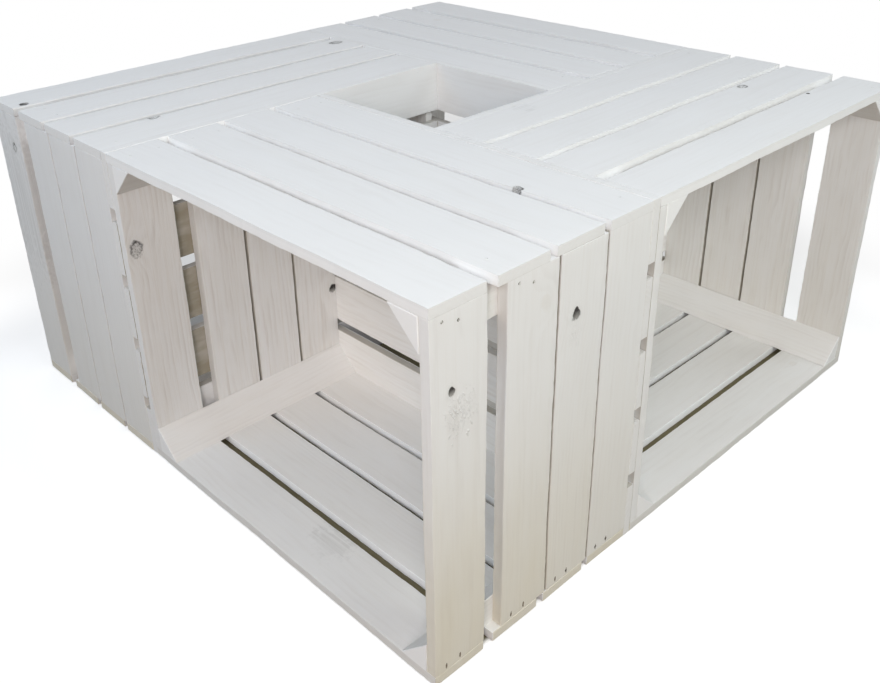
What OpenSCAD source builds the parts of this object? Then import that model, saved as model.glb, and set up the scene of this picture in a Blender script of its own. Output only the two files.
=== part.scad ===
// Low square table of four slatted wooden crates.
// Each crate lies on a long side with its mouth outwards, and the four
// stand in a pinwheel, so their backs line an open square well.
// Origin at the middle of the underside, +Z up, millimetres.
// A crate's own frame: x along its length from the left end wall,
// y from the mouth to the back, z up. Left and right are as seen
// when looking into the mouth.

/* [Crate] */
// Length of a crate
crate_l = 500; // [460:5:600]
// Depth of a crate, from its mouth to the outer face of its back boards
crate_d = 300; // [290:1:340]
// Height of a crate as it stands, which is the height of the table
crate_h = 400; // [360:5:450]
// Small chamfer along the long edges of every board
edge_ease = 0.8; // [0.3:0.1:1.5]

/* [Long side slats] */
// Thickness of the top and floor slats
side_t = 11; // [8:0.5:14]
// Width of the top and floor slats, except the one at the mouth, which is ripped to fit
side_w = 64.5; // [55:0.5:68]
// Gap between the slat at the mouth and the next one
mouth_gap = 13; // [6:0.5:20]
// Gap between the other slats
side_gap = 9; // [4:0.5:12]

/* [End walls] */
// Thickness of the end wall slats
end_t = 12; // [9:0.5:15]
// Width of the end wall slats, except the one at the mouth, which is ripped to fit
end_w = 65; // [55:0.5:68]
// Narrow gap between the three slats nearest the back
end_gap = 2.5; // [1:0.5:6]
// Width of the hand hold, between the slat at the mouth and the next one
hand_hold = 24; // [16:1:34]

/* [Back boards] */
// Thickness of the back boards
back_t = 11; // [8:0.5:14]
// Width of the back boards
back_w = 67; // [58:0.5:72]

/* [Corner posts] */
// Leg of the three-sided corner posts, along either wall
post_leg = 34; // [32:1:45]
// Blunt width of the posts' two thin corners
post_blunt = 1; // [0.5:0.5:3]

/* [Nails] */
// Length of a nail, its head included
nail_l = 25; // [20:1:27]
// Diameter of a nail's shank
nail_d = 1.8; // [1.4:0.1:2.2]
// Diameter of a nail's head
nail_head_d = 3.2; // [2.8:0.1:4.5]
// Thickness of a nail's head
nail_head_h = 1; // [0.6:0.1:1.6]
// Length of a nail's point
nail_tip = 3; // [2:0.5:5]
// How far the heads are set below the wood
nail_set = 0.3; // [0.1:0.1:0.8]
// Clearance round a nail in its hole, on the radius
nail_fit = 0.05; // [0.02:0.01:0.1]
// Room below a nail's or screw's point
tip_room = 0.5; // [0.2:0.1:1]
// Clear distance between the points of the end wall nails and the slat nails
nail_pass = 2.5; // [1.5:0.5:4]
// End wall nails: distance of the first one from the table's top or underside
end_nail_z = 17.5; // [17:0.5:26]
// End wall nails: distance of the first one from the slat's front edge
end_nail_y = 14; // [8:1:20]
// End wall nails: distance between the two
end_nail_step = 18; // [10:1:28]
// End wall nails: how much lower the second one is driven in at the upper end
end_nail_drop = 5; // [0:0.5:5]
// Slat nails: distance from the slat's long edges
side_nail_y = 15; // [8:1:24]
// Back board nails: distance from the board's long edges
back_nail_z = 15; // [8:1:24]
// Rim nails, driven into the slat edges: distance of the first from the end
rim_nail_x = 14; // [8:1:18]
// Rim nails: distance between the two
rim_nail_step = 23; // [20:1:40]

/* [Joining screws] */
// Length of a screw that holds two crates together, its head included
screw_l = 21; // [16:0.5:22]
// Diameter of the screw
screw_d = 4; // [3:0.5:5]
// Diameter of the countersunk head
screw_head_d = 8; // [7:0.5:9]
// Height of the countersunk head
screw_head_h = 3; // [2.5:0.5:5]
// Width of each arm of the cross recess
recess_w = 1; // [0.6:0.1:1.4]
// Length of the cross recess
recess_l = 4; // [3:0.5:4.5]
// Depth of the cross recess
recess_h = 1.5; // [1:0.5:2]

/* [Hidden] */
$fn = 24;
eps = 0.01;
side_n = 4;
end_n = 4;
back_n = 5;
half = (crate_l + crate_d) / 2;
wall_d = crate_d - back_t;
back_gap = (crate_h - back_n * back_w) / (back_n - 1);
end_h = crate_h - 2 * side_t;
side_nail_x = nail_l + nail_pass;
screw_x = crate_l - crate_d + back_t + end_w / 2;
wash = [0.92, 0.91, 0.88];
wash_end = [0.90, 0.88, 0.85];
wash_back = [0.88, 0.87, 0.84];
wash_post = [0.93, 0.92, 0.90];
steel = [0.62, 0.62, 0.60];
zinc = [0.74, 0.73, 0.70];

// Front edge of top or floor slat i. Slat 0 is at the mouth, and the
// others are set out from the back.
function side_y(i) = i == 0 ? 0 : wall_d - (side_n - i) * side_w - (side_n - 1 - i) * side_gap;

// Width of top or floor slat i. The one at the mouth takes what is left.
function side_width(i) = i == 0 ? side_y(1) - mouth_gap : side_w;

// Front edge and width of end wall slat i, set out in the same way
function end_y(i) = i == 0 ? 0 : wall_d - (end_n - i) * end_w - (end_n - 1 - i) * end_gap;
function end_width(i) = i == 0 ? end_y(1) - hand_hold : end_w;

// Lower edge of back board j, counted from 0 at the floor
function back_z(j) = j * (back_w + back_gap);

// Heights of the nails that hold an end of back board j
function back_nail_heights(j) = [
    if (j > 0) back_z(j) + back_nail_z,
    if (j < back_n - 1) back_z(j) + back_w - back_nail_z
];

// Section of a board, a by b, with its four edges eased
module eased(a, b) {
    e = edge_ease;
    polygon([
        [e, 0], [a - e, 0], [a, e], [a, b - e],
        [a - e, b], [e, b], [0, b - e], [0, e]
    ]);
}

// Section of a corner post, its square corner at the origin
module post_section() {
    polygon([
        [0, 0], [post_leg, 0], [post_leg, post_blunt],
        [post_blunt, post_leg], [0, post_leg]
    ]);
}

// Board along x, its section in y and z
module board(l, a, b) {
    rotate([90, 0, 90]) linear_extrude(l) eased(a, b);
}

// Nail pointing down, with the wood's face at z = 0
module nail() {
    translate([0, 0, -nail_set]) rotate_extrude() polygon([
        [0, 0], [nail_head_d / 2, 0], [nail_head_d / 2, -nail_head_h],
        [nail_d / 2, -nail_head_h], [nail_d / 2, nail_tip - nail_l], [0, -nail_l]
    ]);
}

// Room for that nail in the wood
module nail_hole() {
    depth = nail_set + nail_l + tip_room;
    seat = nail_set + nail_head_h;
    translate([0, 0, -depth]) cylinder(h = depth + eps, d = nail_d + 2 * nail_fit);
    translate([0, 0, -seat]) cylinder(h = seat + eps, d = nail_head_d + 2 * nail_fit);
}

// Countersunk screw pointing down, its head flush with the wood at z = 0
module screw() {
    difference() {
        rotate_extrude() polygon([
            [0, 0], [screw_head_d / 2, 0], [screw_d / 2, -screw_head_h],
            [screw_d / 2, screw_d - screw_l], [0, -screw_l]
        ]);
        for (a = [0, 90]) rotate([0, 0, a])
            translate([-recess_l / 2, -recess_w / 2, -recess_h])
                cube([recess_l, recess_w, recess_h + eps]);
    }
}

// Room for that screw, the countersink included
module screw_hole() {
    depth = screw_l + tip_room;
    translate([0, 0, -depth]) cylinder(h = depth + eps, d = screw_d + 2 * nail_fit);
    translate([0, 0, -screw_head_h])
        cylinder(h = screw_head_h, d1 = screw_d + 2 * nail_fit, d2 = screw_head_d + 2 * nail_fit);
}

// Height of end wall nail k, at the upper or lower end of a slat
function end_nail_height(top, k) = top ? crate_h - end_nail_z - k * end_nail_drop : end_nail_z;

// Places on an end wall, for the nails of slat i, pointing into the wood
module at_end_nails(left, i, levels) {
    for (top = levels, k = [0, 1])
        translate([left ? 0 : crate_l, end_y(i) + end_nail_y + k * end_nail_step, end_nail_height(top, k)])
            rotate([0, left ? -90 : 90, 0]) children();
}

// Places on the top or the underside, for the nails of slat i
module at_side_nails(top, i, ends) {
    for (x = ends, y = [side_nail_y, side_width(i) - side_nail_y])
        translate([x, side_y(i) + y, top ? crate_h : 0])
            rotate([top ? 0 : 180, 0, 0]) children();
}

// Places on the back, for the nails of board j into the end walls
module at_back_nails(j, ends) {
    for (x = ends, z = back_nail_heights(j))
        translate([x, crate_d, z]) rotate([-90, 0, 0]) children();
}

// Places on the back, for the nails into the edges of the rearmost slats
module at_rim_nails(top) {
    for (x = [rim_nail_x, rim_nail_x + rim_nail_step], far = [0, 1])
        translate([far ? crate_l - x : x, crate_d, top ? crate_h - side_t / 2 : side_t / 2])
            rotate([-90, 0, 0]) children();
}

// Places inside the back, for the screws into the next crate
module at_screws() {
    for (j = [1, back_n - 2])
        translate([screw_x, wall_d, back_z(j) + back_w / 2]) rotate([90, 0, 0]) children();
}

both_levels = [false, true];
near_far = [side_nail_x, crate_l - side_nail_x];
wall_mid = [end_t / 2, crate_l - end_t / 2];

module side_slat(top, i) {
    difference() {
        translate([0, side_y(i), top ? crate_h - side_t : 0])
            board(crate_l, side_width(i), side_t);
        at_side_nails(top, i, near_far) nail_hole();
        if (i == side_n - 1) at_rim_nails(top) nail_hole();
    }
}

module top_slat(i) {
    color(wash) side_slat(true, i);
}

module floor_slat(i) {
    color(wash_back) side_slat(false, i);
}

module end_slat(left, i) {
    difference() {
        translate([left ? 0 : crate_l - end_t, end_y(i), side_t])
            linear_extrude(end_h) eased(end_t, end_width(i));
        at_end_nails(left, i, both_levels) nail_hole();
        if (i == end_n - 1) for (j = [0 : back_n - 1])
            at_back_nails(j, [wall_mid[left ? 0 : 1]]) nail_hole();
        if (left && i == end_n - 1) for (j = [1, back_n - 2])
            translate([-back_t, wall_d - end_w / 2, back_z(j) + back_w / 2])
                rotate([0, -90, 0]) screw_hole();
    }
}

module left_end_slats() {
    color(wash_end) for (i = [0 : end_n - 1]) end_slat(true, i);
}

module right_end_slats() {
    color(wash_end) for (i = [0 : end_n - 1]) end_slat(false, i);
}

module back_boards() {
    color(wash_back) for (j = [0 : back_n - 1]) difference() {
        translate([0, wall_d, back_z(j)]) board(crate_l, back_t, back_w);
        at_back_nails(j, wall_mid) nail_hole();
        if (j == 0) at_rim_nails(false) nail_hole();
        if (j == back_n - 1) at_rim_nails(true) nail_hole();
        if (j == 1 || j == back_n - 2) at_screws() screw_hole();
    }
}

module post(left, top) {
    difference() {
        translate([left ? end_t : crate_l - end_t, 0, top ? crate_h - side_t : side_t])
            mirror([left ? 0 : 1, 0, 0]) mirror([0, 0, top ? 1 : 0])
                translate([0, wall_d, 0]) rotate([90, 0, 0]) linear_extrude(wall_d) post_section();
        for (i = [0 : end_n - 1]) at_end_nails(left, i, [top]) nail_hole();
        for (i = [0 : side_n - 1]) at_side_nails(top, i, [near_far[left ? 0 : 1]]) nail_hole();
    }
}

module upper_posts() {
    color(wash_post) for (left = [true, false]) post(left, true);
}

module lower_posts() {
    color(wash_post) for (left = [true, false]) post(left, false);
}

module nails() {
    color(steel) {
        for (left = [true, false], i = [0 : end_n - 1]) at_end_nails(left, i, both_levels) nail();
        for (top = [true, false], i = [0 : side_n - 1]) at_side_nails(top, i, near_far) nail();
        for (j = [0 : back_n - 1]) at_back_nails(j, wall_mid) nail();
        for (top = [true, false]) at_rim_nails(top) nail();
    }
}

// Place of a crate in the table, turned by quarter turns from the front one
module crate(quarter) {
    rotate([0, 0, 90 * quarter]) translate([half - crate_l, -half, 0]) children();
}

module joining_screws() {
    color(zinc) for (quarter = [0 : 3]) crate(quarter) at_screws() screw();
}

crate(0) top_slat(0);  // front_crate_top_slat_1
crate(0) top_slat(1);  // front_crate_top_slat_2
crate(0) top_slat(2);  // front_crate_top_slat_3
crate(0) top_slat(3);  // front_crate_top_slat_4
crate(0) floor_slat(0);  // front_crate_floor_slat_1
crate(0) floor_slat(1);  // front_crate_floor_slat_2
crate(0) floor_slat(2);  // front_crate_floor_slat_3
crate(0) floor_slat(3);  // front_crate_floor_slat_4
crate(0) left_end_slats();  // front_crate_left_end_slats
crate(0) right_end_slats();  // front_crate_right_end_slats
crate(0) back_boards();  // front_crate_back_boards
crate(0) upper_posts();  // front_crate_upper_posts
crate(0) lower_posts();  // front_crate_lower_posts
crate(0) nails();  // front_crate_nails
crate(1) top_slat(0);  // right_crate_top_slat_1
crate(1) top_slat(1);  // right_crate_top_slat_2
crate(1) top_slat(2);  // right_crate_top_slat_3
crate(1) top_slat(3);  // right_crate_top_slat_4
crate(1) floor_slat(0);  // right_crate_floor_slat_1
crate(1) floor_slat(1);  // right_crate_floor_slat_2
crate(1) floor_slat(2);  // right_crate_floor_slat_3
crate(1) floor_slat(3);  // right_crate_floor_slat_4
crate(1) left_end_slats();  // right_crate_left_end_slats
crate(1) right_end_slats();  // right_crate_right_end_slats
crate(1) back_boards();  // right_crate_back_boards
crate(1) upper_posts();  // right_crate_upper_posts
crate(1) lower_posts();  // right_crate_lower_posts
crate(1) nails();  // right_crate_nails
crate(2) top_slat(0);  // rear_crate_top_slat_1
crate(2) top_slat(1);  // rear_crate_top_slat_2
crate(2) top_slat(2);  // rear_crate_top_slat_3
crate(2) top_slat(3);  // rear_crate_top_slat_4
crate(2) floor_slat(0);  // rear_crate_floor_slat_1
crate(2) floor_slat(1);  // rear_crate_floor_slat_2
crate(2) floor_slat(2);  // rear_crate_floor_slat_3
crate(2) floor_slat(3);  // rear_crate_floor_slat_4
crate(2) left_end_slats();  // rear_crate_left_end_slats
crate(2) right_end_slats();  // rear_crate_right_end_slats
crate(2) back_boards();  // rear_crate_back_boards
crate(2) upper_posts();  // rear_crate_upper_posts
crate(2) lower_posts();  // rear_crate_lower_posts
crate(2) nails();  // rear_crate_nails
crate(3) top_slat(0);  // left_crate_top_slat_1
crate(3) top_slat(1);  // left_crate_top_slat_2
crate(3) top_slat(2);  // left_crate_top_slat_3
crate(3) top_slat(3);  // left_crate_top_slat_4
crate(3) floor_slat(0);  // left_crate_floor_slat_1
crate(3) floor_slat(1);  // left_crate_floor_slat_2
crate(3) floor_slat(2);  // left_crate_floor_slat_3
crate(3) floor_slat(3);  // left_crate_floor_slat_4
crate(3) left_end_slats();  // left_crate_left_end_slats
crate(3) right_end_slats();  // left_crate_right_end_slats
crate(3) back_boards();  // left_crate_back_boards
crate(3) upper_posts();  // left_crate_upper_posts
crate(3) lower_posts();  // left_crate_lower_posts
crate(3) nails();  // left_crate_nails
joining_screws();
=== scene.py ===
import math
import random
import bpy
from mathutils import Matrix, Vector


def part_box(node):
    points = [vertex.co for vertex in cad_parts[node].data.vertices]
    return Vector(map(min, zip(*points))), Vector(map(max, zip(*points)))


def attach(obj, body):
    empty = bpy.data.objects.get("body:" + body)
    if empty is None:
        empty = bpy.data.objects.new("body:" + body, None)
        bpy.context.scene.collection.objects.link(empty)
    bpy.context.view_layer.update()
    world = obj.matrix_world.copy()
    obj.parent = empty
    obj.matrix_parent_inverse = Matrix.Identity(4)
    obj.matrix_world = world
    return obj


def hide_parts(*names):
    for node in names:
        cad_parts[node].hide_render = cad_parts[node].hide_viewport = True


mm = 0.001
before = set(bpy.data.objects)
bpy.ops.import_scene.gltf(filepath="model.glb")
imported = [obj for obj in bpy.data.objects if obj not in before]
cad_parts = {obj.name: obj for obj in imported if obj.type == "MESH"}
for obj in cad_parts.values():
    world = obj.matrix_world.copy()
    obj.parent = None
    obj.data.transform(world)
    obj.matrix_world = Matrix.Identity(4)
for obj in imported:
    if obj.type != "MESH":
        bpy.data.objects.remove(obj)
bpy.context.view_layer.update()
print("frame loaded:", len(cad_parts), "nodes")

photo = {
    "wide": 880, "high": 683,             # pixels of the picture
    "eye": (0.860327, -0.836836, 0.747164),
    "azimuth": 47.234, "elevation": 27.055, "roll": -1.497,
    "focal": 977.908,                     # in pixels
    "middle": (416.662, 281.023),         # where the lens axis meets the picture
    "filmWide": 36, "clipFrom": 0.02,
}


def placeCamera():
    az, el, roll = (math.radians(photo[k]) for k in ("azimuth", "elevation", "roll"))
    ahead = Vector((-math.sin(az) * math.cos(el), math.cos(az) * math.cos(el), -math.sin(el)))
    level = ahead.cross(Vector((0, 0, 1))).normalized()
    upright = level.cross(ahead)
    right = math.cos(roll) * level + math.sin(roll) * upright
    up = math.cos(roll) * upright - math.sin(roll) * level
    bpy.ops.object.camera_add()
    camera = bpy.context.object
    camera.name = "photoCamera"
    camera.matrix_world = Matrix.Translation(photo["eye"]) @ Matrix((right, up, -ahead)).transposed().to_4x4()
    camera.data.sensor_width = photo["filmWide"]
    camera.data.lens = photo["filmWide"] * photo["focal"] / photo["wide"]
    camera.data.shift_x = (photo["wide"] / 2 - photo["middle"][0]) / photo["wide"]
    camera.data.shift_y = (photo["middle"][1] - photo["high"] / 2) / photo["wide"]
    camera.data.clip_start = photo["clipFrom"]
    bpy.context.scene.camera = camera


class Signal:
    # one output socket; arithmetic on it adds Math nodes
    def __init__(self, finish, socket):
        self.finish = finish
        self.socket = socket

    def __add__(self, other):
        return self.finish.math("ADD", self, other)

    def __radd__(self, other):
        return self.finish.math("ADD", other, self)

    def __sub__(self, other):
        return self.finish.math("SUBTRACT", self, other)

    def __rsub__(self, other):
        return self.finish.math("SUBTRACT", other, self)

    def __mul__(self, other):
        return self.finish.math("MULTIPLY", self, other)

    def __rmul__(self, other):
        return self.finish.math("MULTIPLY", other, self)

    def __truediv__(self, other):
        return self.finish.math("DIVIDE", self, other)


class Finish:
    # the node tree of one material, or of the world
    def __init__(self, owner):
        owner.use_nodes = True
        self.owner = owner
        self.tree = owner.node_tree
        self.tree.nodes.clear()

    def node(self, kind, settings=None, inputs=None):
        made = self.tree.nodes.new(kind)
        for key, value in (settings or {}).items():
            setattr(made, key, value)
        for key, value in (inputs or {}).items():
            if isinstance(value, Signal):
                self.tree.links.new(value.socket, made.inputs[key])
            else:
                made.inputs[key].default_value = value
        return made

    def pick(self, made, output=0):
        return Signal(self, made.outputs[output])

    def math(self, operation, *values):
        return self.pick(self.node("ShaderNodeMath", {"operation": operation}, dict(enumerate(values))))

    def vectorMath(self, operation, *values):
        return self.pick(self.node("ShaderNodeVectorMath", {"operation": operation}, dict(enumerate(values))))

    def length(self, first, second):
        return self.math("SQRT", first * first + second * second)

    def attribute(self, name):
        return self.pick(self.node("ShaderNodeAttribute", {"attribute_name": name}), "Vector")

    def inMillimetres(self, name):
        inputs = {0: self.attribute(name), "Scale": 1 / mm}
        return self.pick(self.node("ShaderNodeVectorMath", {"operation": "SCALE"}, inputs))

    def objectPlace(self):
        return self.pick(self.node("ShaderNodeTexCoord"), "Object")

    def split(self, vector):
        made = self.node("ShaderNodeSeparateXYZ", inputs={0: vector})
        return [self.pick(made, axis) for axis in range(3)]

    def join(self, x, y, z):
        return self.pick(self.node("ShaderNodeCombineXYZ", inputs={0: x, 1: y, 2: z}))

    def noise(self, vector, scale=1.0, detail=2.0, rough=0.5):
        return self.pick(self.node("ShaderNodeTexNoise", inputs={
            "Vector": vector, "Scale": scale, "Detail": detail, "Roughness": rough, "Distortion": 0.0}))

    def ramp(self, value, low, high, start=0.0, end=1.0):
        return self.pick(self.node("ShaderNodeMapRange", {"interpolation_type": "SMOOTHSTEP"}, {
            "Value": value, "From Min": low, "From Max": high, "To Min": start, "To Max": end}))

    def blend(self, share, first, second):
        made = self.node("ShaderNodeMix", {"data_type": "RGBA"}, {0: share, 6: first, 7: second})
        return self.pick(made, 2)

    def clamp(self, value):
        return self.pick(self.node("ShaderNodeClamp", inputs={0: value}))

    def bump(self, strength, distance, height):
        return self.pick(self.node("ShaderNodeBump", inputs={
            "Strength": strength, "Distance": distance, "Height": height}))

    def output(self, shader, kind="ShaderNodeOutputMaterial"):
        self.node(kind, inputs={"Surface": self.pick(shader)})
        return self.owner


pine = {
    "paint": (0.92, 0.92, 0.92, 1), "paintThin": (0.80, 0.765, 0.705, 1), "paintLow": (0.80, 0.75, 0.63, 1),
    "thick": (0.985, 0.985, 0.985, 1), "wood": (0.50, 0.37, 0.20, 1), "lateWood": (0.30, 0.19, 0.09, 1),
    # edge is the bare wood of narrow sides and joints; edgeGrey is painted shade for gaps, arrises and outer
    # faces
    "edge": (0.36, 0.32, 0.24, 1), "edgeGrey": (0.44, 0.45, 0.47, 1),
    "knot": (0.030, 0.026, 0.024, 1), "knotGrey": (0.40, 0.39, 0.37, 1), "nailMark": (0.12, 0.08, 0.045, 1),
    "ringWide": 5.4,                      # mm between growth rings
    "pithAside": 120, "pithDeep": (16, 46),   # mm: how far the pith may lie to the side and below
    "wander": (190, 26),                  # the pith wanders over so many mm of length, by so many to the side
    "ringBend": 1.5,                      # knot radii by which a knot pushes the rings aside
    "ripple": 5.0,                        # mm by which the rings ripple
    "seedSpread": (900.0, 700.0, 500.0),  # mm of pattern that the boards are cut from
    # marks drawn out along the board: length and width in mm, detail and roughness of the noise
    "marks": {
        "ripple": (42, 11, 2.0, 0.5), "fading": (75, 13, 2.0, 0.6), "streak": (170, 3.4, 2.0, 0.6),
        "fibre": (34, 1 / 0.7, 3.0, 0.6), "hair": (6, 1 / 1.7, 2.0, 0.6), "cloud": (110, 24, 2.0, 0.5),
        "patch": (60, 18, 3.0, 0.6), "crumbs": (2.2, 1.5, 2.0, 0.7),
    },
    "innerGrain": 0.48, "innerWarmth": 0.22,  # what the thin wash of the inner faces adds: more grain, and a darker, warmer tone that is partly painted shade
    "faceEdge": (0.9, 0.4),               # mm over which a narrow side's look fades in
    "nailStroke": (3.6, 1.25),            # mm: half length and half width of the mark round a nail
    "strokeLowShade": 0.35,                  # least painted low shade of a board that has such marks
    "rough": 0.60, "shine": 0.35, "bumpStrength": 0.5, "bumpDeep": 0.001,
}


def whitewashedPine(name, cover, warmth, grain, edge="edge", endDarkening=0.0, endThick=0.0, well=0.0,
                    outerShade=0.0, arrisShade=0.0):
    f = Finish(bpy.data.materials.new(name))
    place = f.inMillimetres("boardPlace")
    u, v, w = f.split(place)
    long, wide, thick = f.split(f.inMillimetres("boardSize"))
    seed = f.attribute("boardSeed")
    sx, sy, sz = f.split(seed)
    bareShadeLow, bareShadeHigh, thinAndShaded = f.split(f.attribute("boardBareShade"))
    bareShadeOuter, turned, lowShade = f.split(f.attribute("boardSide"))
    drift = f.vectorMath("ADD", place, f.vectorMath("MULTIPLY", seed, pine["seedSpread"]))
    du, dv, dw = f.split(drift)
    wobble = f.noise(drift, 0.16) - 0.5

    def marks(name):
        length, width, detail, rough = pine["marks"][name]
        return f.noise(f.join(du / length, dv / width, dw / width), 1.0, detail, rough)

    def knotReach(spot, taper, roundness):
        # how far a point lies from a knot, in knot radii; taper narrows the knot's upper end
        ku, kv, kr = f.split(spot)
        radius = f.math("MAXIMUM", kr, 0.001)
        along = (u - ku) / radius
        narrowing = 1 - taper * f.math("MAXIMUM", f.math("MINIMUM", along, 1.6), -1.2)
        across = (v - kv) / (radius * narrowing)
        reach = f.math("SQRT", across * across + along * along * (0.55 + roundness * 0.45))
        return reach, along, radius, f.math("GREATER_THAN", kr, 0.1)

    def pushAside(reach, radius, present):
        return radius * pine["ringBend"] * present * f.math("EXPONENT", reach * reach * -0.22)

    fill, taper, roundness = f.split(f.attribute("knotLook"))
    openReach, openAlong, openRadius, hasOpen = knotReach(f.attribute("openKnot"), taper, roundness)
    soundReach, _, soundRadius, hasSound = knotReach(f.attribute("soundKnot"), 0.0, 0.0)
    tornReach, _, _, hasTorn = knotReach(f.attribute("tornPatch"), 0.0, 0.0)

    # growth rings round a pith that lies off the board, pushed aside by the knots
    wanderLong, wanderAside = pine["wander"]
    wander = (f.noise(f.join(du / wanderLong, sx * 40, sy * 30), 1.0, 1.5) - 0.5) * wanderAside
    pithV = v - (wide * 0.5 + (sx - 0.5) * pine["pithAside"]) - wander
    pithW = w + pine["pithDeep"][0] + sy * pine["pithDeep"][1]
    rings = f.length(pithV, pithW)
    bend = pushAside(openReach, openRadius, hasOpen) + pushAside(soundReach, soundRadius, hasSound)
    ripple = (marks("ripple") - 0.5) * pine["ripple"]
    phase = (rings + bend + ripple + u * (sz - 0.5) * 0.05) / (pine["ringWide"] * (0.75 + 0.5 * sy))
    turn = f.math("FRACT", phase)
    late = f.ramp(turn, 0.15, 0.80) * f.ramp(turn, 1.0, 0.84) * f.ramp(marks("fading"), 0.34, 0.66)
    streak, fibre, hair, cloud, patch, crumbs = (
        marks(name) for name in ("streak", "fibre", "hair", "cloud", "patch", "crumbs"))

    # wear along the arrises, and the sides and faces that show little wash or much, with painted shade and
    # painted fill light among them
    eu = f.math("MINIMUM", u, long - u)
    ev = f.math("MINIMUM", v, wide - v)
    ew = f.math("MINIMUM", w, thick - w)
    arris = f.math("MINIMUM", ev + ew, eu + f.math("MINIMUM", ev, ew))
    chew = f.noise(drift, 0.35, 3.0, 0.6)
    worn = f.ramp(arris + (chew - 0.5) * 6, 0.8, -0.4)
    deep = f.ramp(thick - w, 0.9, 1.9)
    sides = bareShadeLow * f.ramp(v, *pine["faceEdge"]) + bareShadeHigh * f.ramp(wide - v, *pine["faceEdge"])
    # the narrow sides: bare wood in the joints, and painted shade in the top slats' gaps
    narrow = f.math("MAXIMUM", sides, 0) * deep * f.ramp(patch, 0.30, 0.55, 0.75, 1.0)
    outer = f.ramp(thick - w, 0.6, 0.3)
    hidden = f.ramp(u + turned * (long - u * 2), well - 3, well + 3)    # what lies against the next crate
    # where an outer face lies against the next crate: bare wood darkened as painted shade
    narrow = narrow + bareShadeOuter * outer * hidden * f.ramp(patch, 0.25, 0.60, 0.8, 1.1)
    # thicker paint on the post ends, and painted fill light deep in the gaps: sides set below 0 take the
    # thick paint's white further down
    thickAndPaintedFill = f.math("MAXIMUM", sides * -1, 0) * f.ramp(thick - w, 1.5, 5.0, 0.4, 1.0)
    thickAndPaintedFill = thickAndPaintedFill + endThick * f.ramp(eu, *pine["faceEdge"])
    inner = thinAndShaded * f.ramp(w, 2.0, 0.6)
    # painted shade: the right end slats turn darker and warmer towards the floor; the board ends are darker
    # and warmer too
    low = lowShade * f.ramp(u, 300, 10) + endDarkening * f.ramp(eu, 1.2, 0.5)

    see = grain + inner * pine["innerGrain"]                            # how strongly the grain shows
    bare = f.clamp(
        see * (0.13 * late + 0.12 * f.ramp(streak, 0.45, 0.75) + 0.07 * f.ramp(fibre, 0.45, 0.72))
        + (1 - cover) * (0.4 + 0.8 * cloud) + 0.08 * worn * f.ramp(chew, 0.54, 0.64))
    ragged = openReach + wobble * 0.8 + (hair - 0.5) * 1.1 * f.ramp(openAlong, 0.1, -0.9)
    core = f.ramp(ragged, 1.0, 0.78) * hasOpen
    ringed = f.ramp(ragged, 0.62, 0.80) * f.ramp(ragged, 1.12, 0.96) * hasOpen
    stain = f.ramp(ragged, 2.1, 0.9) * hasOpen
    soundCore = f.ramp(soundReach + wobble * 0.6, 1.0, 0.6) * hasSound
    relief, smudge, scatter = f.split(f.attribute("tornLook"))
    torn = f.ramp(tornReach + wobble * 2.4, 1.2, 0.5) * hasTorn
    torn = torn * (1 - scatter * f.ramp(chew, 0.56, 0.46))
    shreds = f.noise(f.join((du + dv * 0.9) / 13.0, (dv - du * 0.5) / 3.4, dw), 1.0, 3.0, 0.62)
    ridge = f.ramp(shreds, 0.52, 0.60)
    hollow = f.ramp(shreds, 0.49, 0.43)

    wood = f.blend(late, pine["wood"], pine["lateWood"])
    # a thinner, warmer wash, which on the inner faces and the parts inside the crates is partly painted shade
    thinly = warmth + inner * pine["innerWarmth"] + (cloud - 0.5) * (0.12 + 0.45 * see) + (sx - 0.5) * 0.10
    wash = f.blend(f.clamp(thinly), pine["paint"], pine["paintThin"])
    # the wash turns darker and warmer towards the floor, as painted shade, and at the board ends
    wash = f.blend(f.clamp(low * (0.65 + 0.4 * cloud)), wash, pine["paintLow"])
    colour = f.blend(f.clamp(bare + soundCore * 0.07), wash, wood)
    # painted fill light in the gaps, and the post ends' thick paint, in the thick paint's white
    colour = f.blend(f.clamp(thickAndPaintedFill), colour, pine["thick"])
    # painted shade greys the outer faces that don't lie against the next crate: the well's walls, and all of
    # the left crate's right end
    if outerShade:
        colour = f.blend(f.clamp(outerShade * outer * (1 - hidden)), colour, pine["edgeGrey"])
    # bare wood and painted shade on the narrow sides, and painted shade along the top slats' arrises that
    # dulls their highlight
    colour = f.blend(f.clamp(narrow + arrisShade * f.ramp(arris, 1.1, 0.5)), colour, pine[edge])
    # painted highlight on the torn patch's ridges, and below, painted shade in its hollows
    colour = f.blend(f.clamp(torn * relief * ridge * 0.9), colour, pine["thick"])
    grey = (stain * 0.10 * f.ramp(hair, 0.40, 0.58) + torn * smudge * f.ramp(streak, 0.30, 0.62)
            + torn * relief * hollow * 0.18)
    colour = f.blend(f.clamp(grey), colour, pine["knotGrey"])
    # the open knot is dark, with painted shade making it darker towards its upper end
    knotTone = f.blend(f.ramp(openAlong + wobble, -1.3, 0.5), pine["knotGrey"], pine["knot"])
    broken = core * f.ramp(crumbs, 0.50, 0.60)
    ringed = ringed * f.ramp(f.noise(drift, 0.30, 2.0, 0.6), 0.32, 0.50)
    loose = (1 - fill) * (broken * 0.55 + ringed * 0.75)
    knotShare = fill * core * f.ramp(hair, 0.18, 0.42, 0.6, 1.0) + loose
    colour = f.blend(f.clamp((1 - fill) * core * f.ramp(crumbs, 0.46, 0.40) * 0.9), colour, pine["thick"])
    colour = f.blend(f.clamp(knotShare), colour, knotTone)

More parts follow.
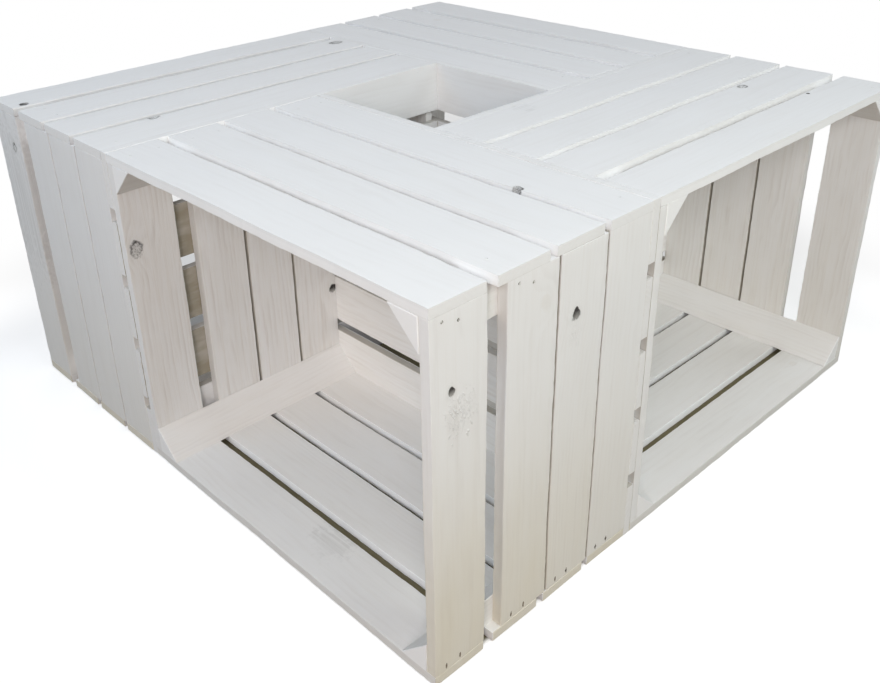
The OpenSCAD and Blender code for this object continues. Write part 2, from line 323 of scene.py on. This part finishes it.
    # dark marks round the nails near the lower end of a board with strong painted low shade
    nailU, *nailVs = (part / mm for part in sizes["endNail"])
    fromFront = v + turned * (wide - v * 2)
    asides = [f.math("ABSOLUTE", fromFront - nailV) for nailV in nailVs]
    strokeU = (u - nailU) / pine["nailStroke"][0]
    strokeV = f.math("MINIMUM", *asides) / pine["nailStroke"][1]
    stroke = f.ramp(f.length(strokeU, strokeV) + (hair - 0.5) * 1.2, 1.05, 0.80)
    stroke = stroke * f.math("GREATER_THAN", lowShade, pine["strokeLowShade"]) * outer
    colour = f.blend(f.clamp(stroke * f.ramp(crumbs, 0.34, 0.50, 0.45, 0.95)), colour, pine["nailMark"])

    height = (see * 0.12 * (1 - late) + (0.04 + 0.12 * see) * (f.ramp(fibre, 0.35, 0.7) + hair) + 0.05 * cloud
              - 1.1 * fill * core + (1 - fill) * (0.9 * core * crumbs - 0.3 * ringed) + 0.1 * soundCore
              + relief * torn * (2.2 * ridge + 1.0 * shreds) - 0.2 * worn * chew - 0.4 * stroke)
    return f.output(f.node("ShaderNodeBsdfPrincipled", inputs={
        "Base Color": colour, "Roughness": pine["rough"] + 0.16 * fibre + 0.1 * bare,
        "Normal": f.bump(pine["bumpStrength"], pine["bumpDeep"], height),
        "Specular IOR Level": pine["shine"]}))


steel = {
    "crust": (0.08, 0.065, 0.05, 1), "crustPale": (0.75, 0.74, 0.71, 1),
    "painted": (0.84, 0.84, 0.83, 1), "paintedDull": (0.42, 0.40, 0.37, 1),
    "paintedAbove": (0.390, 0.394), "paintedLeft": (-0.09, -0.11),      # z and x in metres
    "zinc": (0.66, 0.64, 0.56, 1), "zincDull": (0.46, 0.45, 0.42, 1),
}


def nailSteel():
    # painted over on the top and on the left side of the table, dark and crusted elsewhere
    f = Finish(bpy.data.materials.new("nailSteel"))
    where = f.objectPlace()
    x, y, z = f.split(where)
    spots = f.noise(where, 900, 2.0, 0.6)
    crust = f.noise(f.join(x * 900, y * 900, z * 380), 1.0, 2.0, 0.6)
    flaked = f.ramp(crust + 0.13 * f.ramp(z, 0.2, 0.3), 0.56, 0.64)
    dark = f.blend(flaked, steel["crust"], steel["crustPale"])
    pale = f.blend(f.ramp(spots, 0.56, 0.70), steel["painted"], steel["paintedDull"])
    covered = f.math("MAXIMUM", f.ramp(z, *steel["paintedAbove"]), f.ramp(x, *steel["paintedLeft"]))
    return f.output(f.node("ShaderNodeBsdfPrincipled", inputs={
        "Base Color": f.blend(covered, dark, pale), "Roughness": 0.45 + 0.3 * spots,
        "Metallic": 0.3 * f.ramp(spots, 0.45, 0.6), "Normal": f.bump(0.4, 0.0005, crust)}))


def screwZinc():
    f = Finish(bpy.data.materials.new("screwZinc"))
    spots = f.noise(f.objectPlace(), 1400, 3.0, 0.6)
    return f.output(f.node("ShaderNodeBsdfPrincipled", inputs={
        "Base Color": f.blend(f.ramp(spots, 0.35, 0.7), steel["zinc"], steel["zincDull"]),
        "Roughness": 0.3 + 0.2 * spots, "Metallic": 1.0, "Normal": f.bump(0.2, 0.0002, spots)}))


sizes = {
    "endWide": 65 * mm, "endGap": 2.5 * mm, "endThick": 12 * mm,
    "backWide": 67 * mm, "postLeg": 34 * mm, "postBlunt": 1 * mm,
    "endNail": (6.5 * mm, 14 * mm, 32 * mm),        # from the board's end, and two from its front edge
    "endNailDrop": 5 * mm,                           # how much lower the second one is at the upper end
    "sideNail": (27.5 * mm, 15 * mm), "backNail": (6 * mm, 15 * mm),    # from the end and the edge
    "rimNail": (14 * mm, 37 * mm, 5.5 * mm),         # two from the board's end, and from its rim edge
    "hole": 1.75 * mm, "holeDeep": 1.25 * mm,
    "ease": 0.7 * mm,                                # rounding of the edges
    "step": 5.5 * mm,                                # length of one stretch of a board's mesh
    "nearBy": 0.05 * mm,                             # places closer than this count as one
}
backLow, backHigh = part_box("front_crate_back_boards")
slatLow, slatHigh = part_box("front_crate_top_slat_1")
crate = {
    "long": backHigh.x - backLow.x, "high": backHigh.z - backLow.z,
    "deep": backHigh.y - slatLow.y, "backThick": backHigh.y - backLow.y,
    "slatThick": slatHigh.z - slatLow.z, "slatWide": slatHigh.y - slatLow.y,
}
crate["wallDeep"] = crate["deep"] - crate["backThick"]
crate["endLong"] = crate["high"] - 2 * crate["slatThick"]
crate["backGap"] = (crate["high"] - 5 * sizes["backWide"]) / 4
half = (crate["long"] + crate["deep"]) / 2           # half the width of the table
slatYs = [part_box("front_crate_top_slat_%d" % (i + 1))[0].y + half for i in range(4)]


def selectBy(test, what):
    # selects the vertices, edges or faces of the mesh in edit mode whose places pass the test
    bpy.ops.mesh.select_all(action="DESELECT")
    bpy.ops.object.mode_set(mode="OBJECT")
    mesh = bpy.context.object.data
    if what == "VERT":
        for one in mesh.vertices:
            one.select = test(one.co)
    elif what == "EDGE":
        for one in mesh.edges:
            one.select = test(*[mesh.vertices[k].co for k in one.vertices])
    else:
        for one in mesh.polygons:
            one.select = test(one.center, one.normal)
    bpy.ops.object.mode_set(mode="EDIT")
    bpy.ops.mesh.select_mode(type=what)


def cutAcross(axis, places):
    for at in places:
        bpy.ops.mesh.select_all(action="SELECT")
        spot = [0, 0, 0]
        facing = [0, 0, 0]
        spot[axis] = at
        facing[axis] = 1
        bpy.ops.mesh.bisect(plane_co=spot, plane_no=facing)


def near(a, b):
    return abs(a - b) < sizes["nearBy"]


def alongBoard(a, b):
    return near(a.y, b.y) and near(a.z, b.z)


def addBlock(name, long, wide, thick):
    bpy.ops.object.select_all(action="DESELECT")
    middle = (long / 2, wide / 2, thick / 2)
    bpy.ops.mesh.primitive_cube_add(size=1, location=middle, scale=(long, wide, thick))
    block = bpy.context.object
    block.name = name
    bpy.ops.object.transform_apply(location=True, rotation=True, scale=True)
    bpy.ops.object.mode_set(mode="EDIT")
    return block


def sawBoard(name, long, wide, thick, nailSpots):
    # a sawn board at the origin, along x, with its outer face up and holes for its nails
    board = addBlock(name, long, wide, thick)
    bpy.ops.mesh.select_mode(type="EDGE")
    cutAcross(0, sorted({round(s[0], 6) for s in nailSpots}))
    cutAcross(1, sorted({round(s[1], 6) for s in nailSpots}))
    start = max(s[0] for s in nailSpots if s[0] < long / 2)
    stop = min(s[0] for s in nailSpots if s[0] > long / 2)
    step = sizes["step"]
    selectBy(lambda a, b: alongBoard(a, b) and near(abs(a.x - b.x), stop - start), "EDGE")
    bpy.ops.mesh.subdivide(number_cuts=int((stop - start) / step))
    if start > 2 * step:
        selectBy(lambda a, b: alongBoard(a, b) and abs(a.x - b.x) > 1.6 * step, "EDGE")
        bpy.ops.mesh.subdivide(number_cuts=int(start / step) - 1)

    # round the long edges and the ends
    def onArris(a, b):
        return all((near(p.y, 0) or near(p.y, wide)) and (near(p.z, 0) or near(p.z, thick)) for p in (a, b))

    def onEnd(a, b):
        if not near(a.x, b.x) or not (near(a.x, 0) or near(a.x, long)):
            return False
        flat = near(a.z, b.z) and (near(a.z, 0) or near(a.z, thick))
        upright = near(a.y, b.y) and (near(a.y, 0) or near(a.y, wide))
        return flat or upright

    selectBy(lambda a, b: onArris(a, b) or onEnd(a, b), "EDGE")
    bpy.ops.mesh.bevel(offset=sizes["ease"], segments=2, profile=0.5, affect="EDGES")

    # nail holes: each crossing is opened to a ring and sunk
    def atNail(p):
        return near(p.z, thick) and any(near(p.x, s[0]) and near(p.y, s[1]) for s in nailSpots)

    def inRing(centre, normal):
        gaps = [(centre - Vector((s[0], s[1], thick))).length for s in nailSpots]
        return normal.z > 0.9 and min(gaps) < 0.3 * mm

    selectBy(atNail, "VERT")
    bpy.ops.mesh.bevel(offset=sizes["hole"], segments=2, profile=0.15, affect="VERTICES")
    selectBy(inRing, "FACE")
    bpy.ops.mesh.extrude_region_move(TRANSFORM_OT_translate={"value": (0, 0, -sizes["holeDeep"])})
    bpy.ops.object.mode_set(mode="OBJECT")
    return noteBoard(board, long, wide, thick)


def cutPost(name, long):
    # three-sided corner post along x, its square corner on the x axis
    leg = sizes["postLeg"]
    post = addBlock(name, long, leg, leg)
    bpy.ops.mesh.select_all(action="SELECT")
    bpy.ops.mesh.bisect(plane_co=(0, leg, sizes["postBlunt"]), plane_no=(0, 1, 1),
                        clear_outer=True, use_fill=True)
    selectBy(lambda a, b: alongBoard(a, b) and abs(a.x - b.x) > long / 2, "EDGE")
    bpy.ops.mesh.subdivide(number_cuts=int(long / sizes["step"]))

    def onEdge(a, b):
        return alongBoard(a, b) or (near(a.x, b.x) and (near(a.x, 0) or near(a.x, long)))

    selectBy(onEdge, "EDGE")
    bpy.ops.mesh.bevel(offset=sizes["ease"], segments=1, affect="EDGES")
    bpy.ops.object.mode_set(mode="OBJECT")
    return noteBoard(post, long, leg, leg)


def noteBoard(board, long, wide, thick):
    # keeps each point's place on the board, and the board's size, for the grain
    mesh = board.data
    place = mesh.attributes.new("boardPlace", "FLOAT_VECTOR", "POINT")
    place.data.foreach_set("vector", [c for point in mesh.vertices for c in point.co])
    setAll(mesh, "boardSize", (long, wide, thick))
    return board


def setAll(mesh, name, vector):
    one = mesh.attributes.new(name, "FLOAT_VECTOR", "POINT")
    one.data.foreach_set("vector", list(vector) * len(mesh.vertices))


# knots as seen in the photograph: a point on the table in mm and a radius, then how solid, tapered and round
openKnots = {
    "front_crate_right_end_slat_1": ((400, -377, 316), 3.8, (1, 0.35, 0)),
    "front_crate_right_end_slat_3": ((400, -220, 324), 5.6, (1, 0.35, 0)),
    "front_crate_top_slat_4": ((289, -174, 400), 5.0, (0.45, 0, 0.3)),
    "left_crate_top_slat_1": ((-344, -382, 400), 6.5, (0.9, 0, 1)),
    "left_crate_top_slat_4": ((-173, -299, 400), 6.0, (0.15, 0, 0)),
    "left_crate_top_slat_2": ((-301, 84, 400), 8.0, (0.35, 0, 0)),
    "right_crate_top_slat_2": ((267, 273, 400), 5.5, (0.1, 0, 0)),
    "right_crate_top_slat_1": ((340, 297, 400), 2.5, (1, 0, 0.5)),
    "front_crate_left_end_slat_1": ((-88, -388, 285), 8.0, (0.25, 0, 0)),
    "front_crate_left_end_slat_4": ((-88, -116, 134), 6.0, (1, 0, 0.1)),
    "left_crate_right_end_slat_1": ((-356, -400, 345), 4.5, (0.1, 0, 0)),
}
# torn or smudged places: a point and a radius, then how rough (raised, with painted highlight and painted
# shade), grey and scattered
tornPatches = {
    "front_crate_right_end_slat_1": ((400, -366, 289), 17.0, (0.8, 0, 0.8)),
    "front_crate_right_end_slat_3": ((400, -220, 303), 10.0, (0.35, 0, 0.6)),
    "front_crate_floor_slat_1": ((190, -352, 11), 22.0, (0.05, 0.22, 0)),
    "left_crate_right_end_slat_1": ((-362, -400, 270), 80.0, (0, 0.22, 0)),
    "right_crate_top_slat_4": ((125, 22, 400), 12.0, (0.05, 0.14, 0)),
}
chances = {
    "soundKnot": 0.1, "soundRadius": (4, 8),         # share of boards with a knot under the paint; mm
    "tilt": 0.10,                                    # degrees about the board's length
    "shift": 0.3, "rise": (-0.3, 0.1),               # mm in the board's plane and out of it
}


def placeBoard(kind, name, place, bare, side, chance):
    # a copy of a modelled board, put where the CAD has it, with its own seed and knots
    mesh = kind.data.copy()
    long, wide, thick = mesh.attributes["boardSize"].data[0].vector
    rand = random.Random(name)
    back = place.inverted()

    def onBoard(point, radius):
        local = back @ (Vector(point) * mm)
        return local.x * 1000, local.y * 1000, radius

    nothing = (0, 0, 0)
    knot = openKnots.get(name)
    torn = tornPatches.get(name)
    setAll(mesh, "boardSeed", [rand.random() for axis in range(3)])
    setAll(mesh, "boardBareShade", bare)
    setAll(mesh, "boardSide", side)
    setAll(mesh, "openKnot", onBoard(*knot[:2]) if knot else nothing)
    setAll(mesh, "knotLook", knot[2] if knot else nothing)
    setAll(mesh, "tornPatch", onBoard(*torn[:2]) if torn else nothing)
    setAll(mesh, "tornLook", torn[2] if torn else nothing)
    sound = (rand.uniform(0.1, 0.9) * long * 1000, rand.uniform(0.2, 0.8) * wide * 1000,
             rand.uniform(*chances["soundRadius"]))
    setAll(mesh, "soundKnot", sound if rand.random() < chance and not torn else nothing)
    tilt = Matrix.Rotation(math.radians(rand.uniform(-chances["tilt"], chances["tilt"])), 4, "X")
    aside = [rand.uniform(-chances["shift"], chances["shift"]) for axis in range(2)]
    shift = Matrix.Translation(Vector(aside + [rand.uniform(*chances["rise"])]) * mm)
    mesh.transform(place @ shift @ tilt)
    board = bpy.data.objects.new(name, mesh)
    bpy.context.scene.collection.objects.link(board)
    return board


def frameOf(x, y, z, origin):
    # the matrix that lays a board's x, y and z along these axes
    turn = Matrix((x, y, z)).transposed().to_4x4()
    return Matrix.Translation(origin) @ turn


def joinAs(name, boards):
    bpy.ops.object.select_all(action="DESELECT")
    for board in boards:
        board.select_set(True)
    bpy.context.view_layer.objects.active = boards[0]
    if len(boards) > 1:
        bpy.ops.object.join()
    whole = bpy.context.view_layer.objects.active
    whole.name = name
    return whole


handWork = {
    "bow": 1.6 * mm, "bowSize": 0.11, "bowMiddle": 0.5,
    "nick": 0.9 * mm, "nickSize": 0.009, "nickMiddle": 0.62,
    "softBelow": 40,                                 # degrees; sharper edges stay sharp
    "flatness": 80,                                  # how far the wide faces lead the shading
}


def cloudsTexture(name, size, kind):
    made = bpy.data.textures.new(name, "CLOUDS")
    made.noise_scale = size
    made.noise_depth = 2
    made.cloud_type = kind
    return made


bowTexture = cloudsTexture("bowOfBoards", handWork["bowSize"], "COLOR")
nickTexture = cloudsTexture("nicksOfEdges", handWork["nickSize"], "GRAYSCALE")


def addDisplace(whole, name, texture, settings):
    made = whole.modifiers.new(name, "DISPLACE")
    made.texture = texture
    made.texture_coords = "GLOBAL"
    made.mid_level = handWork[name + "Middle"]
    made.strength = handWork[name]
    for key, value in settings.items():
        setattr(made, key, value)


def workBoards(whole):
    # slight bow of each board and small nicks along its edges
    place = [tuple(one.vector) for one in whole.data.attributes["boardPlace"].data]
    size = [tuple(one.vector) for one in whole.data.attributes["boardSize"].data]
    edge = whole.vertex_groups.new(name="arrises")
    ease = sizes["ease"] * 1.05
    for k in range(len(place)):
        gaps = sorted(min(p, s - p) for p, s in zip(place[k], size[k]))
        if gaps[1] <= ease:
            edge.add([k], 1.0, "REPLACE")
    bpy.context.view_layer.objects.active = whole
    addDisplace(whole, "bow", bowTexture, {"direction": "RGB_TO_XYZ", "space": "GLOBAL"})
    addDisplace(whole, "nick", nickTexture, {"direction": "NORMAL", "vertex_group": "arrises"})
    for made in ("bow", "nick"):
        bpy.ops.object.modifier_apply(modifier=made)
    whole.vertex_groups.clear()
    bpy.ops.object.select_all(action="DESELECT")
    whole.select_set(True)
    bpy.ops.object.shade_smooth_by_angle(angle=math.radians(handWork["softBelow"]))
    level = whole.modifiers.new("level", "WEIGHTED_NORMAL")
    level.weight = handWork["flatness"]
    level.keep_sharp = True
    bpy.ops.object.modifier_apply(modifier="level")


def cutKinds():
    # every kind of board and the post, modelled once
    side = (crate["long"], crate["slatWide"], crate["slatThick"])
    end = (crate["endLong"], sizes["endWide"], sizes["endThick"])
    back = (crate["long"], sizes["backWide"], crate["backThick"])
    fromEnd, fromEdge = sizes["sideNail"]
    sideNails = [(u, v) for u in (fromEnd, side[0] - fromEnd) for v in (fromEdge, side[1] - fromEdge)]
    fromEnd, first, second = sizes["endNail"]
    leftNails = [(fromEnd, first), (fromEnd, second), (end[0] - fromEnd, first),
                 (end[0] - fromEnd - sizes["endNailDrop"], second)]
    rightNails = [(u, end[1] - v) for u, v in leftNails]
    fromEnd, fromEdge = sizes["backNail"]
    backNails = [(u, v) for u in (fromEnd, back[0] - fromEnd) for v in (fromEdge, back[1] - fromEdge)]
    rimNails = [(u, back[1] - fromEdge) for u in (fromEnd, back[0] - fromEnd)]
    *rimEnds, rimEdge = sizes["rimNail"]
    rimNails += [(u, rimEdge) for rimEnd in rimEnds for u in (rimEnd, back[0] - rimEnd)]
    return {
        "side": sawBoard("sideKind", *side, sideNails),
        "left": sawBoard("leftKind", *end, leftNails),
        "right": sawBoard("rightKind", *end, rightNails),
        "back": sawBoard("backKind", *back, backNails),
        "rim": sawBoard("rimKind", *back, rimNails),
        "post": cutPost("postKind", crate["wallDeep"]),
    }


# how closely the wash covers and how warm it is, the warmth partly painted shade inside the crates; well is
# how many mm of a board don't lie against the next crate, and there the outer face is greyed as painted shade
coats = {
    "whitewashTop": {"cover": 0.985, "warmth": 0.0, "grain": 0.17, "edge": "edgeGrey", "arrisShade": 0.14},
    "whitewashFloor": {"cover": 0.97, "warmth": 0.20, "grain": 0.26, "endDarkening": 1.0},
    "whitewashEnds": {"cover": 0.97, "warmth": 0.0, "grain": 0.28},
    "whitewashShadedSide": {"cover": 0.985, "warmth": 0.0, "grain": 0.17, "edge": "edgeGrey",
                      "well": 1000, "outerShade": 0.07},
    "whitewashBacks": {"cover": 0.96, "warmth": 0.02, "grain": 0.25,
                       "well": (crate["long"] - crate["deep"]) * 1000, "outerShade": 0.16},
    "whitewashPosts": {"cover": 0.94, "warmth": 0.20, "grain": 0.32, "endThick": 1.0},
}
# how bare a board's two narrow sides are, with painted shade in the top slats' gaps, or below 0 how much
# painted fill light in thick paint's white they take, and how thin and shaded the wash inside is
bareShadeParts = {
    "topFront": {"front": (-1, -1, 0), "right": (-1, -0.4, -0.2),
                 "rear": (-1, -1, -1), "left": (-1, -0.4, -0.4)},       # slats 1, 2 and the rest
    "topBehind": {"front": -1, "right": -1, "rear": 0.1, "left": 0.42},
    "topInner": 0.6,
    "floor": ((0.05, 0.12, 0), (0.05, -1, 0), (0.05, -1, 0), (0.05, -1, 0)),
    "endFront": (0, 0.2, 0.75, 0.75), "endBehind": (0.1, 0.75, 0.75, 0),    # most in the close joints
    "endInner": {"right": 0.55}, "endInnerElse": 1,
    "back": ((0, 0.6, 0.55), (0.3, 0.6, 0.55), (0.3, 0.6, 0.55), (0.3, 0.6, 0.55), (0, 0.6, 0.55)),
    # how bare the outer face is where it lies against the next crate, darkened there as painted shade
    "leftOuter": {"right": 0.4}, "leftOuterElse": 0.85,
    "backOuter": (0, 0.9, 0.9, 0.9, 0),
}
lowShades = {"front": (1.0, 0.85, 0.65, 0.4), "elsewhere": (0.3, 0.3, 0.3, 0.3)}   # painted shade, darker and warmer towards the floor, on the right end slats
xWay, yWay, zWay = Vector((1, 0, 0)), Vector((0, 1, 0)), Vector((0, 0, 1))


def buildCrate(word, quarter, kinds, paints):
    # the front crate is drawn, and turned about the table's middle for the others
    long, high, deep, thick = crate["long"], crate["high"], crate["wallDeep"], crate["slatThick"]
    endThick, endWide, backWide = sizes["endThick"], sizes["endWide"], sizes["backWide"]
    whereabouts = Matrix.Rotation(math.pi / 2 * quarter, 4, "Z") @ Matrix.Translation((half - long, -half, 0))

    def put(kind, name, x, y, z, origin, bare, side=(0, 0, 0), chance=chances["soundKnot"]):
        return placeBoard(kinds[kind], name, whereabouts @ frameOf(x, y, z, origin), bare, side, chance)

    for i, y in enumerate(slatYs):
        name = "%s_crate_top_slat_%d" % (word, i + 1)
        bare = (bareShadeParts["topFront"][word][min(i, 2)], bareShadeParts["topBehind"][word], bareShadeParts["topInner"])
        top = put("side", name, xWay, yWay, zWay, (0, y, high - thick), bare)
        finishPiece(joinAs(name + "_board", [top]), name, paints["whitewashTop"])
        name = "%s_crate_floor_slat_%d" % (word, i + 1)
        low = put("side", name, xWay, -yWay, -zWay, (0, y + crate["slatWide"], thick), bareShadeParts["floor"][i])
        finishPiece(joinAs(name + "_board", [low]), name, paints["whitewashFloor"])

    ys = [0] + [deep - (4 - i) * endWide - (3 - i) * sizes["endGap"] for i in (1, 2, 3)]
    inner = bareShadeParts["endInner"].get(word, bareShadeParts["endInnerElse"])
    outer = bareShadeParts["leftOuter"].get(word, bareShadeParts["leftOuterElse"])
    lowShade = lowShades.get(word, lowShades["elsewhere"])
    for side in ("left", "right"):
        boards = []
        for i in range(4):
            name = "%s_crate_%s_end_slat_%d" % (word, side, i + 1)
            front, behind = bareShadeParts["endFront"][i], bareShadeParts["endBehind"][i]
            if side == "left":                       # its outer face lies against the next crate's back
                boards.append(put("left", name, zWay, yWay, -xWay, (endThick, ys[i], thick),
                                  (front, behind, inner), (outer, 0, 0)))
            else:
                boards.append(put("right", name, zWay, -yWay, xWay, (long - endThick, ys[i] + endWide, thick),
                                  (behind, front, inner), (0, 1, lowShade[i])))
        name = "%s_crate_%s_end_slats" % (word, side)
        # the left crate's right end takes a copy of the wash with painted shade on its outer face
        paint = "whitewashShadedSide" if (word, side) == ("left", "right") else "whitewashEnds"
        finishPiece(joinAs(name + "_boards", boards), name, paints[paint])

    boards = []
    for j in range(5):
        name = "%s_crate_back_board_%d" % (word, j + 1)
        low = j * (backWide + crate["backGap"])
        kind = "rim" if j in (0, 4) else "back"
        if j == 0:                                   # turned over, so that its rim nails are at the floor
            lay = (-xWay, zWay, yWay, (long, deep, low))
        else:
            lay = (xWay, -zWay, yWay, (0, deep, low + backWide))
        side = (bareShadeParts["backOuter"][j], 0 if j else 1, 0)
        boards.append(put(kind, name, *lay, bareShadeParts["back"][j], side))
    name = "%s_crate_back_boards" % word
    finishPiece(joinAs(name + "_whole", boards), name, paints["whitewashBacks"])

    lays = {
        "upper": ((yWay, xWay, -zWay, (endThick, 0, high - thick)),
                  (yWay, -zWay, -xWay, (long - endThick, 0, high - thick))),
        "lower": ((yWay, zWay, xWay, (endThick, 0, thick)),
                  (yWay, -xWay, zWay, (long - endThick, 0, thick))),
    }
    for level, pair in lays.items():
        posts = [put("post", "%s_%s_post_%d" % (word, level, k + 1), *lay, (0, 0, 0), chance=0)
                 for k, lay in enumerate(pair)]
        name = "%s_crate_%s_posts" % (word, level)
        finishPiece(joinAs(name + "_pair", posts), name, paints["whitewashPosts"])
    paintNode("%s_crate_nails" % word, paints["nailSteel"])
    print(word, "crate done")


def makeCrates():
    kinds = cutKinds()
    print("board kinds modelled")
    paints = {name: whitewashedPine(name, **coat) for name, coat in coats.items()}
    paints["nailSteel"] = nailSteel()
    for quarter, word in enumerate(("front", "right", "rear", "left")):
        buildCrate(word, quarter, kinds, paints)
    for kind in kinds.values():
        bpy.data.objects.remove(kind)
    paintNode("joining_screws", screwZinc())


def finishPiece(whole, node, paint):
    whole.data.materials.clear()
    whole.data.materials.append(paint)
    workBoards(whole)
    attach(whole, "root")
    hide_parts(node)


def paintNode(node, material):
    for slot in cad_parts[node].material_slots:
        slot.material = material


studio = {
    "floorSize": 60.0, "floorLow": 0.0006,  # metres; it lies just under the table
    "paper": (0.90, 0.90, 0.90, 1), "paperGlow": 0.42,      # the floor as the camera sees it
    "paperFrom": 0.44, "paperTo": 0.74,   # metres from the middle over which lit paper turns plain white
    "shade": (0.24, 0.21, 0.13, 1),       # painted shade: the floor's colour under the table and in its painted long shadow
    "under": 0.394, "underSoft": 0.004,   # half width of the painted shade under the table
    "castDeep": 0.28, "castWide": 0.84, "castTaper": 0.40, "castSoft": 0.16,
    "castNear": (0.10, 0.45), "castFar": (1.55, 1.15),      # its painted long shadow, away from the camera
    # noise that mottles the painted shade under the table
    "shadeMottleScale": 30.0, "shadeMottleDeep": 0.15,
    "floorWarm": (0.14, 0.10, 0.06, 1),   # what the floor gives back to the wood
    "black": (0, 0, 0, 1), "white": (1, 1, 1, 1),
    "skyColour": (1.0, 0.97, 0.93, 1), "skyLevel": 0.2,
    "aim": (0, 0, 0.2),                   # where the lamps point
}
lamps = {                                 # place, width, power and colour of each soft lamp
    "cameraLamp": ((1.9, -2.1, 1.5), 1.0, 29.0, (0.93, 0.93, 1.0)),
    "nearLamp": ((1.2, -1.5, 0.8), 0.9, 2.5, (1.0, 0.65, 0.30)),
    "frontLamp": ((0.2, -1.7, 1.3), 0.9, 6.7, (1.0, 0.99, 0.95)),
    "rightLamp": ((1.6, -0.1, 1.2), 0.9, 8.7, (0.92, 1.0, 0.94)),
    "topLamp": ((0.0, 0.0, 2.4), 2.0, 8.7, (0.77, 0.84, 1.0)),
    "farLamp": ((1.6, 2.0, 1.6), 1.4, 15.7, (0.86, 0.94, 1.0)),
    "leftLamp": ((-0.9, -1.8, 1.3), 1.0, 5.5, (0.30, 0.66, 1.0)),
    "backLamp": ((-1.9, 0.9, 1.2), 1.2, 4.1, (1.0, 0.96, 0.93)),
}


def floorFinish():
    # white paper to the camera, with the table's real shadows near the table, painted shade under it and a
    # painted long shadow behind it, and a warm floor to the wood
    f = Finish(bpy.data.materials.new("floorPale"))
    where = f.objectPlace()
    x, y, z = f.split(where)
    beside = f.math("MAXIMUM", f.math("ABSOLUTE", x), f.math("ABSOLUTE", y))
    # painted shade on the paper under the table
    under = f.ramp(beside, studio["under"] + studio["underSoft"], studio["under"] - studio["underSoft"])
    diagonal = math.sqrt(0.5)
    along = (y - x) * diagonal            # the painted long shadow lies along this diagonal
    across = f.math("ABSOLUTE", (x + y) * diagonal)
    # a painted long shadow behind the table, tapering away from the camera
    reach = across + studio["castTaper"] * along
    cast = f.ramp(reach, studio["castWide"] + studio["castSoft"], studio["castWide"] - studio["castSoft"])
    cast = cast * f.ramp(along, *studio["castNear"]) * f.ramp(along, *studio["castFar"])
    shaded = f.math("MAXIMUM", under, cast * studio["castDeep"])
    away = f.ramp(beside, studio["paperFrom"], studio["paperTo"]) * (1 - shaded)
    path = f.node("ShaderNodeLightPath")
    seen = f.math("MAXIMUM", f.pick(path, "Is Camera Ray"), f.pick(path, "Is Glossy Ray"))
    seen = f.math("MAXIMUM", seen, f.pick(path, "Is Transmission Ray"))
    # the painted shade under the table is mottled; together with the painted long shadow it darkens the paper
    # and dims its glow
    stain = f.ramp(f.noise(where, studio["shadeMottleScale"], 3.0, 0.6), 0.3, 0.7, 0.0, studio["shadeMottleDeep"])
    shade = f.blend(under * stain, studio["shade"], studio["black"])
    paper = f.blend(shaded, studio["paper"], shade)
    paper = f.blend(away, paper, studio["black"])
    level = f.ramp(away, 0, 1, studio["paperGlow"], 1.0)
    return f.output(f.node("ShaderNodeBsdfPrincipled", inputs={
        "Base Color": f.blend(seen, studio["floorWarm"], paper), "Roughness": 1.0, "Specular IOR Level": 0.0,
        "Emission Color": seen * level * (1 - shaded), "Emission Strength": 1.0}))


def aimLamp(name, place, wide, power, colour):
    bpy.ops.object.light_add(type="AREA", location=place)
    lamp = bpy.context.object
    lamp.name = name
    lamp.data.shape = "DISK"
    lamp.data.size = wide
    lamp.data.energy = power
    lamp.data.color = colour
    lamp.rotation_euler = (Vector(studio["aim"]) - Vector(place)).to_track_quat("-Z", "Y").to_euler()


def lightStudio():
    bpy.ops.object.select_all(action="DESELECT")
    bpy.ops.mesh.primitive_plane_add(size=studio["floorSize"], location=(0, 0, -studio["floorLow"]))
    floor = bpy.context.object
    floor.name = "studioFloor"
    floor.data.materials.append(floorFinish())
    for name, lamp in lamps.items():
        aimLamp(name, *lamp)
    world = bpy.data.worlds.new("studioAir")
    bpy.context.scene.world = world
    f = Finish(world)
    path = f.node("ShaderNodeLightPath")
    seen = f.math("MAXIMUM", f.pick(path, "Is Camera Ray"), f.pick(path, "Is Transmission Ray"))
    sky = {"Color": studio["skyColour"], "Strength": studio["skyLevel"]}
    air = f.pick(f.node("ShaderNodeBackground", inputs=sky))
    white = f.pick(f.node("ShaderNodeBackground", inputs={"Color": studio["white"], "Strength": 1.0}))
    f.output(f.node("ShaderNodeMixShader", inputs={0: seen, 1: air, 2: white}), "ShaderNodeOutputWorld")
    bpy.context.scene.view_settings.view_transform = "Standard"
    print("studio lit")


placeCamera()
makeCrates()
lightStudio()
